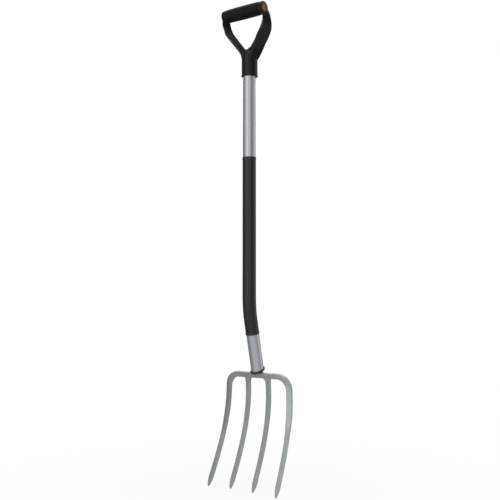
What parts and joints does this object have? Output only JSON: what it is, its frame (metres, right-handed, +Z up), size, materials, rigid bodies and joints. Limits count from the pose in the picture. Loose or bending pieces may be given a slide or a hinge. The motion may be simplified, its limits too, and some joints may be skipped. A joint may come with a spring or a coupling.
{
  "type": "digging fork",
  "caption": "Garden digging fork: flat steel tines on a bent tube with a dark sleeve, foot seal and D-shaped handle.",
  "frame": {"origin": "middle of the fork's width and depth, on the level of the tine points", "axes": "+Z up along the straight upper part of the shaft, +X across the head towards the right-hand tines seen from the front, +Y towards the back, away from the hollow side of the tines"},
  "size_m": [0.2178, 0.088, 1.2004],
  "materials": {
    "anodised_tube": "satin clear-anodised drawn tube",
    "sleeve_plastic": "satin charcoal moulded sleeve",
    "black_nylon": "fine-textured glass-filled nylon",
    "soft_grip": "matt soft-touch elastomer",
    "orange_plastic": "satin moulded plastic",
    "seal_rubber": "matt moulded rubber",
    "forged_steel": "forged and bead-blasted steel under a thin grey lacquer",
    "weld_steel": "weld metal under the same thin grey lacquer",
    "bright_steel": "bright zinc-plated steel"
  },
  "bodies": {
    "root": {"shaft_tube": "anodised_tube", "shaft_sleeve": "sleeve_plastic", "sleeve_top_collar": "sleeve_plastic", "sleeve_bottom_collar": "sleeve_plastic", "shaft_top_plug": "black_nylon", "foot_seal": "seal_rubber", "socket_spigot": "forged_steel", "spigot_rivet": "bright_steel", "spigot_weld_left": "weld_steel", "spigot_weld_right": "weld_steel", "inner_tine_pair": "forged_steel", "outer_tine_left": "forged_steel", "outer_tine_right": "forged_steel", "shoulder_weld_left": "weld_steel", "shoulder_weld_right": "weld_steel", "handle_frame": "black_nylon", "handle_screw": "bright_steel", "grip_core": "bright_steel", "grip_sleeve": "soft_grip", "end_cap_left": "orange_plastic", "end_cap_right": "orange_plastic"}
  },
  "joints": []
}
